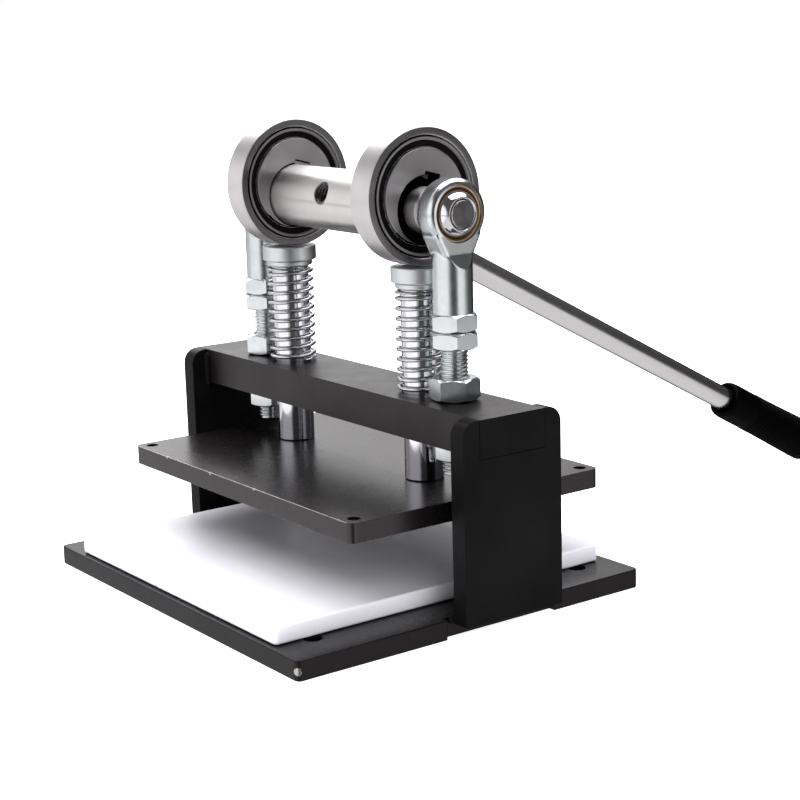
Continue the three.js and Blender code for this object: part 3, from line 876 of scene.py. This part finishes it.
def bearing(side, sign):
    """The outer ring with its ball groove, and a rubber seal with a raised lip on each face."""
    node = f"bearing_outer_ring_{side}"
    at, half, outer = middle(node), size(node).x / 2 / MM, size(node).y / 2 / MM
    bore, chamfer_end = 30.0, 30.6
    profile = [(bore, -half + 0.9), (chamfer_end, -half), (outer, -half),
               (outer, half), (chamfer_end, half), (bore, half - 0.9),
               (bore, 3.2), (30.9, 1.6), (31.2, 0), (30.9, -1.6), (bore, -3.2)]
    ring = turned(f"{node}_ground", profile, RING_STEEL, at, TO_X, closed=True,
                  rounding=1.0, segments=160)
    # The ring's faces take the darker steel, painted shade on the sides that face along the axis
    repaint(ring, SHADED_STEEL, lambda centre, normal: abs(normal.x) > 0.8)
    stands_for(ring, node)
    # Radius and depth under the ring's face
    seal = [(24.4, 2.4), (24.4, 1.5), (25.2, 1.3), (27.4, 1.3), (27.9, 0.35),
            (29.2, 0.35), (29.6, 1.0), (29.9, 1.4), (29.9, 2.4)]
    lip = (27.5, 29.1)
    for place, way in (("inner", -sign), ("outer", sign)):
        path = [(r, way * (half - depth)) for r, depth in seal]
        piece = turned(f"bearing_seal_{side}_{place}_lip", path, SEAL, at, TO_X, closed=True,
                       rounding=0.25, segments=128)
        # The raised lip takes the lighter rubber, a painted highlight
        repaint(piece, SEAL_LIP_HIGHLIGHT,
                lambda centre, normal: lip[0] < off_axis(centre, at) < lip[1])
        stands_for(piece, f"bearing_seal_{side}_{place}")


def grip_profile(start, end, radius):
    """A hollow mouth, a plain collar, ribs that flare towards the end, and a round end."""
    pitch, depth, collar, end_round = 3.0, 0.75, 24, 9
    flare_start, flare_end, flare_height = 350, end - 5, 1.1
    first = start + collar
    profile = [(7.4, start + 6), (8.2, start + 2.6), (9.2, start + 0.4), (10.2, start),
               (11.2, start + 0.9), (11.6, start + 3.5), (radius - 0.2, start + 9),
               (radius - 0.3, first - 1)]
    for i in range(int((end - end_round - first) / pitch)):
        foot = first + i * pitch
        crest = radius + flare_height * max(0, (foot - flare_start) / (flare_end - flare_start))
        profile += [(crest - depth, foot), (crest - depth, foot + 0.3 * pitch),
                    (crest, foot + 0.45 * pitch), (crest, foot + 0.85 * pitch)]
    return profile + [(crest, end - 6), (crest - 1.5, end - 2.2), (crest - 4.5, end - 0.2),
                      (0, end)]


def lever():
    """A bar with a thinner root in the shaft, and its grip, both measured from the axis."""
    slope = math.radians(LEVER_SLOPE)
    direction = Vector((0, math.cos(slope), -math.sin(slope)))
    tilt = direction.to_track_quat("Z", "X").to_matrix().to_4x4()
    root, radius, end = 5.9, 7.1, 392
    profile = [(0, 12), (root, 12), (root, 16.6), (radius, 17.6), (radius, end), (0, end)]
    bar = turned("lever_bar_rod", profile, LEVER_CHROME, SHAFT_AXIS, tilt, rounding=0.6,
                 segments=64)
    stands_for(bar, "lever_bar")
    grip = turned("lever_grip_ribbed", grip_profile(start=314, end=403, radius=11.9), GRIP,
                  SHAFT_AXIS, tilt, rounding=0.5, segments=72)
    stands_for(grip, "lever_grip")


# Press plate and what moves with it


def press_plate():
    """A plate with four corner holes and two countersunk seats under the guide rods."""
    lo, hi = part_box("press_plate")
    corner, inset, hole_radius = 4 * MM, 7 * MM, 3.2
    holes = [drill(hole_radius, (x, y, hi.z), length=40, segments=32)
             for x in (lo.x + inset, hi.x - inset) for y in (lo.y + inset, hi.y - inset)]
    seat = [(0, -1), (7.9, -1), (7.9, 0.4), (4.2, 4.3), (4.2, 20), (0, 20)]
    for side, _ in SIDES:
        spot = column_foot(f"plate_screw_{side}") + Vector((0, 0, lo.z))
        holes.append(turned("seat", seat, None, spot, rounding=0, segments=48))
    place = Matrix.Translation((0, 0, lo.z))
    piece = slab("press_plate_body", rounded_rectangle(lo, hi, corner), hi.z - lo.z,
                 PLATE_PAINT, place, cutters=holes)
    stands_for(piece, "press_plate")


def guide(side):
    """A guide rod with the cap on its top end and the socket screw in its foot."""
    rod, cap, screw = f"guide_rod_{side}", f"spring_cap_{side}", f"plate_screw_{side}"
    at = column_foot(rod)
    bottom, top, radius = low(rod).z / MM, high(rod).z / MM, size(rod).x / 2 / MM
    cap_low, cap_high, cap_radius = low(cap).z / MM, high(cap).z / MM, size(cap).x / 2 / MM
    tapped, tapped_depth, tenon, play = 4.2, 18, 6, 0.3
    profile = [(0, bottom + tapped_depth), (tapped, bottom + tapped_depth), (tapped, bottom),
               (radius, bottom), (radius, cap_low - play), (tenon, cap_low - play),
               (tenon, top), (0, top)]
    piece = turned(f"{rod}_chromed", profile, ROD_CHROME, at, rounding=0.5, segments=128)
    stands_for(piece, rod)

    step, collar = cap_high - 7.9, 12.4
    profile = [(0, top + play), (tenon + play, top + play), (tenon + play, cap_low),
               (collar, cap_low), (collar, step), (cap_radius, step), (cap_radius, cap_high),
               (0, cap_high)]
    piece = turned(f"{cap}_turned", profile, CAP_ZINC, at, rounding=0.9, segments=128)
    stands_for(piece, cap)

    foot, shank, head, length = low(screw).z / MM, 3.9, 7.5, 30
    profile = [(0, foot), (head - 0.1, foot), (head, foot + 0.4), (shank, foot + 4.2),
               (shank, foot + length), (0, foot + length)]
    piece = turned(f"{screw}_head", profile, ZINC, at, rounding=0.2, segments=64)
    socket = hexagon("socket", 5, foot - 1, foot + 3, 0.5, None, at)
    carve(piece, filled(socket))
    stands_for(piece, screw)


def filled(piece):
    """The piece with its bore closed, for use as a cutter."""
    shape = bmesh.new()
    shape.from_mesh(piece.data)
    hull = bmesh.ops.convex_hull(shape, input=shape.verts)
    inside = list({*hull["geom_interior"], *hull["geom_unused"]} - {None})
    bmesh.ops.delete(shape, geom=inside, context="VERTS")
    shape.to_mesh(piece.data)
    shape.free()
    return piece


def spring(side):
    """A coil with closed and ground ends, which shortens as the plate goes down."""
    node = f"spring_{side}"
    lo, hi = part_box(node)
    at = column_foot(node)
    wire, mean, closed_pitch, around, per_turn = 1.0, 11.75, 2.1, 12, 48
    open_coils = SPRING_COILS - 2
    height = (hi.z - lo.z) / MM - 2 * wire
    pitch = (height - 2 * closed_pitch) / open_coils
    last = SPRING_COILS * per_turn
    rings = []
    for step in range(last + 1):
        turn = step / per_turn
        angle = 2 * math.pi * turn
        rise = (min(turn, 1) * closed_pitch + min(max(turn - 1, 0), open_coils) * pitch
                + max(turn - SPRING_COILS + 1, 0) * closed_pitch)
        out = Vector((math.cos(angle), math.sin(angle), 0))
        centre = at + MM * (out * mean + Vector((0, 0, lo.z / MM + wire + rise)))
        from_end = min(step, last - step) / per_turn
        ground = min(1, 0.35 + from_end * 1.3)
        rings.append([centre + MM * wire * (out * math.cos(a)
                                            + Vector((0, 0, ground * math.sin(a))))
                      for a in (2 * math.pi * k / around for k in range(around))])
    piece = skin(f"{node}_wire", rings, WIRE, cap=True, crease=50)
    stands_for(piece, node)
    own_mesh(piece)


def hidden_nodes():
    """CAD solids that are right as they are: the inner rings and the ball cages."""
    for side, _ in SIDES:
        for node, material in ((f"bearing_inner_ring_{side}", RING_STEEL),
                               (f"bearing_cage_{side}", CHROME)):
            mesh = frame["nodes"][node].data
            mesh.materials.clear()
            mesh.materials.append(material)


# Stage


CAMERA = {"at": (0.76626, -0.51119, 0.294), "yaw": 54.13, "pitch": -12.22, "roll": -1.61,
          "lens": 80.65, "sensor": 36}

# Lights, with directions of travel. The ceiling's brightness is what a mirror under it shows.
CEILING = {"at": (-1.05, 0.535, 1.2), "width": 3.1, "depth": 1.52, "brightness": 3.2}
SUNS = {
    "daylight": {"direction": (0.45, 0.5, -1), "strength": 2.0, "angle": 40},
    "fill": {"direction": (-0.85, 0.1, -0.45), "strength": 1.4, "angle": 50},
}

# Brightness of the surroundings: paper below, walls above, and a white wall before the press.
# Each fade gives two values of a direction's component, between which one turns to the other.
PAPER, WALL, FRONT_WALL = 0.78, 0.08, 0.85
PAPER_TO_WALL = (-0.3, 0.03)         # Z
FRONT_WALL_SPREAD = (-0.34, -0.24)   # Y, as a share of the direction's length seen along X
FRONT_WALL_END = (-0.45, -0.15)      # X
# A dark line that lies on both sides of a height, given as the direction's Z
HORIZON = {"height": -0.1, "thin": 0.015, "soft": 0.04, "shade": 0.35}

# Azimuth from +X towards +Y, elevation, half angle and softness, then brightness or shade
PANELS = (
    (-141, 12, 32, 6, 0.8),
    (-97, 0, 40, 8, 1.25),
    (8, -8, 24, 12, 1.2),
    (144, 13, 16, 8, 1.4),
)
SHADES = (
    (-29, -12, 19, 6, 0.14),
    (85, -20, 34, 10, 0.2),
    (125, -20, 34, 10, 0.2),
)


def camera():
    """In front of the press on its right, a little above it."""
    yaw, pitch, roll = (math.radians(CAMERA[key]) for key in ("yaw", "pitch", "roll"))
    forward = Vector((-math.sin(yaw) * math.cos(pitch), math.cos(yaw) * math.cos(pitch),
                      math.sin(pitch)))
    right = Vector((math.cos(yaw), math.sin(yaw), 0))
    up = right.cross(forward)
    right, up = (math.cos(roll) * right + math.sin(roll) * up,
                 math.cos(roll) * up - math.sin(roll) * right)
    turn = Matrix((right, up, -forward)).transposed().to_4x4()
    data = bpy.data.cameras.new("camera")
    data.sensor_width = CAMERA["sensor"]
    data.lens = CAMERA["lens"]
    data.clip_start, data.clip_end = 0.01, 50
    eye = bpy.data.objects.new("camera", data)
    eye.matrix_world = Matrix.Translation(CAMERA["at"]) @ turn
    bpy.context.scene.collection.objects.link(eye)
    bpy.context.scene.camera = eye


def lamp(name, data, direction, at=(0, 0, 0), mirrored=False):
    """A light, which shows up in polished surfaces only if it is mirrored."""
    light = bpy.data.objects.new(name, data)
    light.location = at
    light.rotation_euler = Vector(direction).to_track_quat("-Z", "Y").to_euler()
    light.visible_glossy = mirrored
    light.visible_camera = False
    bpy.context.scene.collection.objects.link(light)


def ceiling_panel(at, width, depth, brightness):
    data = bpy.data.lights.new("ceiling_panel", "AREA")
    data.shape = "RECTANGLE"
    data.size, data.size_y = width, depth
    data.energy = brightness * math.pi * width * depth
    lamp("ceiling_panel", data, (0, 0, -1), at, mirrored=True)


def sun(name, direction, strength, angle):
    data = bpy.data.lights.new(name, "SUN")
    data.energy, data.angle = strength, math.radians(angle)
    lamp(name, data, direction)


def heading(azimuth, elevation):
    a, e = math.radians(azimuth), math.radians(elevation)
    return math.cos(e) * math.cos(a), math.cos(e) * math.sin(a), math.sin(e)


def studio():
    """The world: plain white to the camera, and walls, panels and screens to everything else."""
    world = bpy.data.worlds.new("studio")
    bpy.context.scene.world = world
    world.use_nodes = True
    tree = world.node_tree

    def node(kind, values=None, **settings):
        return add_node(tree, kind, values, **settings).outputs

    def combine(operation, first, second=0.0):
        return node("ShaderNodeMath", {0: first, 1: second}, operation=operation)[0]

    def fade(value, span, first, last, shape="SMOOTHSTEP"):
        values = {"Value": value, "From Min": span[0], "From Max": span[1],
                  "To Min": first, "To Max": last}
        return node("ShaderNodeMapRange", values, interpolation_type=shape)["Result"]

    def patch(azimuth, elevation, reach, soft, outside, inside):
        values = {0: toward, 1: heading(azimuth, elevation)}
        facing = node("ShaderNodeVectorMath", values, operation="DOT_PRODUCT")["Value"]
        span = [math.cos(math.radians(reach + way * soft)) for way in (1, -1)]
        return fade(facing, span, outside, inside)

    toward = node("ShaderNodeTexCoord")["Generated"]
    east, north, up = node("ShaderNodeSeparateXYZ", {0: toward})
    light = fade(up, PAPER_TO_WALL, PAPER, WALL)
    for *place, strength in PANELS:
        light = combine("MAXIMUM", light, patch(*place, 0, strength))
    for *place, strength in SHADES:
        light = combine("MULTIPLY", light, patch(*place, 1, strength))
    flat = node("ShaderNodeVectorMath", {0: toward, 1: (0, 1, 1)}, operation="MULTIPLY")[0]
    reach = node("ShaderNodeVectorMath", {0: flat}, operation="LENGTH")["Value"]
    ahead = fade(combine("DIVIDE", north, reach), FRONT_WALL_SPREAD, FRONT_WALL, 0, "LINEAR")
    front = combine("MULTIPLY", ahead, fade(east, FRONT_WALL_END, 1, 0, "LINEAR"))
    light = combine("MAXIMUM", light, front)
    off = combine("ABSOLUTE", combine("SUBTRACT", up, HORIZON["height"]))
    line = fade(off, (HORIZON["thin"], HORIZON["soft"]), HORIZON["shade"], 1, "LINEAR")
    light = combine("MULTIPLY", light, line)
    shown = combine("MAXIMUM", node("ShaderNodeLightPath")["Is Camera Ray"], light)
    background = tree.nodes["Background"]
    background.inputs["Color"].default_value = (1, 1, 1, 1)
    tree.links.new(shown, background.inputs["Strength"])


def paper_floor():
    """White paper with a little light of its own, so that shadows on it stay faint."""
    look = Surface("floor_paper", (0.93, 0.93, 0.93), 0.0, 0.9)
    look.set("Base Color", look.blend(look.noise(6), (0.92, 0.92, 0.92), (0.94, 0.94, 0.94)))
    look.set("Specular IOR Level", 0.0)
    look.set("Emission Color", (1, 1, 1, 1))
    look.set("Emission Strength", 0.9)
    shape = bmesh.new()
    bmesh.ops.create_grid(shape, x_segments=2, y_segments=2, size=40)
    floor = from_bmesh("floor", shape, look.material)
    floor.visible_glossy = False


camera()
paper_floor()
studio()
for name, light in SUNS.items():
    sun(name, **light)
ceiling_panel(**CEILING)
bpy.context.scene.view_settings.view_transform = "Standard"

base_plate()
crossbeam()
cutting_board()
shaft()
lever()
press_plate()
for side, sign in SIDES:
    upright(side)
    welds(side, sign)
    stud(side)
    nuts(side)
    rod_end(side)
    race_and_ball(side)
    hub(side)
    bearing(side, sign)
    guide(side)
    spring(side)
hidden_nodes()
